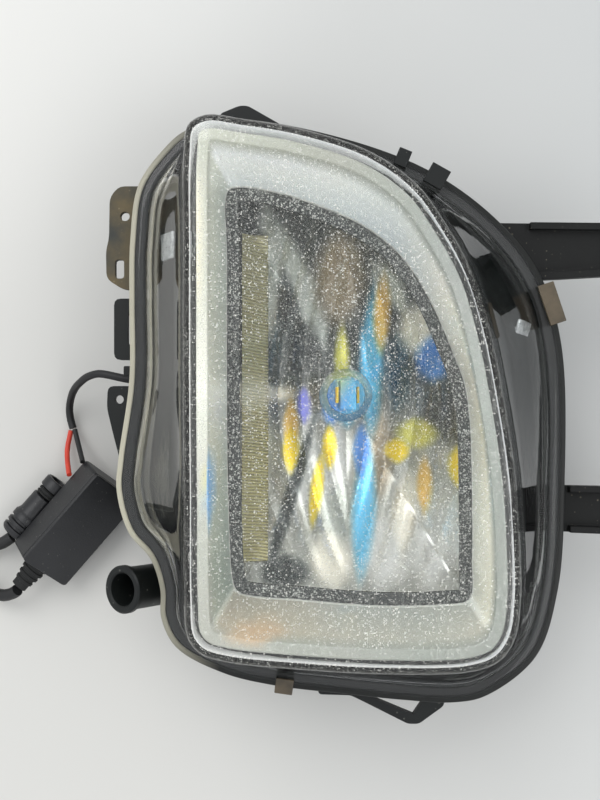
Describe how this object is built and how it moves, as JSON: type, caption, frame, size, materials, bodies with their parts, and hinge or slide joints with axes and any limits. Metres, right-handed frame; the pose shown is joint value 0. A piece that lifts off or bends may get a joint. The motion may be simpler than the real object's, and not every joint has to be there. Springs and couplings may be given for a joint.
{
  "type": "fog light",
  "caption": "Car fog light with a D-shaped clear lens, silver frame, faceted reflector, two bracket arms and an LED bulb whose driver box hangs on a short lead.",
  "frame": {"origin": "middle of the underside of the lamp without its loose leads, on the surface it lies on", "axes": "+Z out through the lens, +Y along the height of the lamp, +X towards the two bracket arms"},
  "size_m": [0.2357, 0.197, 0.0921],
  "materials": {
    "black_plastic": "moulded, lightly dusty and scuffed",
    "arm_plastic": "moulded with fine grain",
    "worn_plastic": "dusty olive grey, worn brown round the hole",
    "clear_lens": "clear moulded plastic, pitted and finely scratched",
    "silver_trim": "satin vacuum-metallised silver",
    "mirror_coat": "bright vacuum-metallised mirror",
    "tan_mirror_coat": "metallised, finely ribbed, tan in tone",
    "led_yellow": "phosphor-coated chips",
    "steel": "zinc plated",
    "bare_aluminium": "machined",
    "smoke_plastic": "translucent smoky brown",
    "black_rubber": "soft and matt",
    "cable_black": "smooth sheath",
    "cable_red": "smooth insulation"
  },
  "bodies": {
    "lamp": {"housing": "black_plastic", "inner_shroud": "black_plastic", "aperture_frame": "black_plastic", "vent_elbow": "black_plastic", "clip_loop": "black_plastic", "cable_clip": "black_plastic", "mount_ear_lower": "black_plastic", "top_tab": "black_plastic", "bottom_hook": "black_plastic", "clip_top_left": "black_plastic", "clip_top_right": "black_plastic", "driver_case": "black_plastic", "driver_lid": "black_plastic", "connector_body": "black_plastic", "connector_tip": "black_plastic", "upper_arm": "arm_plastic", "lower_arm": "arm_plastic", "mount_ear_upper": "worn_plastic", "lens": "clear_lens", "bezel": "silver_trim", "pivot_stud_left": "steel", "pivot_stud_right": "steel", "adjuster_bush": "smoke_plastic", "clip_right": "smoke_plastic", "clip_bottom": "smoke_plastic", "connector_seal": "smoke_plastic", "lens_seal": "black_rubber", "cable_grommet": "black_rubber", "supply_relief": "black_rubber", "lamp_lead": "cable_black", "black_wire": "cable_black", "supply_lead": "cable_black", "red_wire": "cable_red"},
    "reflector_unit": {"reflector": "mirror_coat", "ribbed_strip": "tan_mirror_coat", "bulb_carrier": "steel", "bulb_collar": "bare_aluminium", "bulb_stem": "bare_aluminium", "heat_sink": "bare_aluminium", "led_chip_left": "led_yellow", "led_chip_right": "led_yellow", "adjuster_nut": "smoke_plastic", "bulb_lead": "cable_black"},
    "adjuster": {"adjuster_screw": "steel"},
    "rear_cover": {"rear_cap": "black_plastic", "cap_seal": "black_rubber"},
    "fan": {"fan_rotor": "black_plastic"}
  },
  "joints": [
    {"name": "reflector_tilt", "type": "hinge", "parent": "lamp", "child": "reflector_unit", "pos_m": [-0.01511, 0.00625, 0.0355], "axis": [1, 0, 0], "range_deg": [-2.5, 2.5]},
    {"name": "adjuster_turn", "type": "hinge", "parent": "lamp", "child": "adjuster", "pos_m": [-0.00911, 0.05025, 0.02], "axis": [0, 0, 1], "range_deg": [-235, 235]},
    {"name": "rear_cap_turn", "type": "hinge", "parent": "lamp", "child": "rear_cover", "pos_m": [-0.01511, 0.00625, 0.005], "axis": [0, 0, -1], "range_deg": [0, 30]},
    {"name": "fan_spin", "type": "hinge", "parent": "reflector_unit", "child": "fan", "pos_m": [-0.01511, 0.00625, 0.015], "axis": [0, 0, 1], "continuous": true}
  ],
  "couplings": [
    {"joint": "adjuster_turn", "follows": "reflector_tilt", "ratio": -92.153}
  ]
}
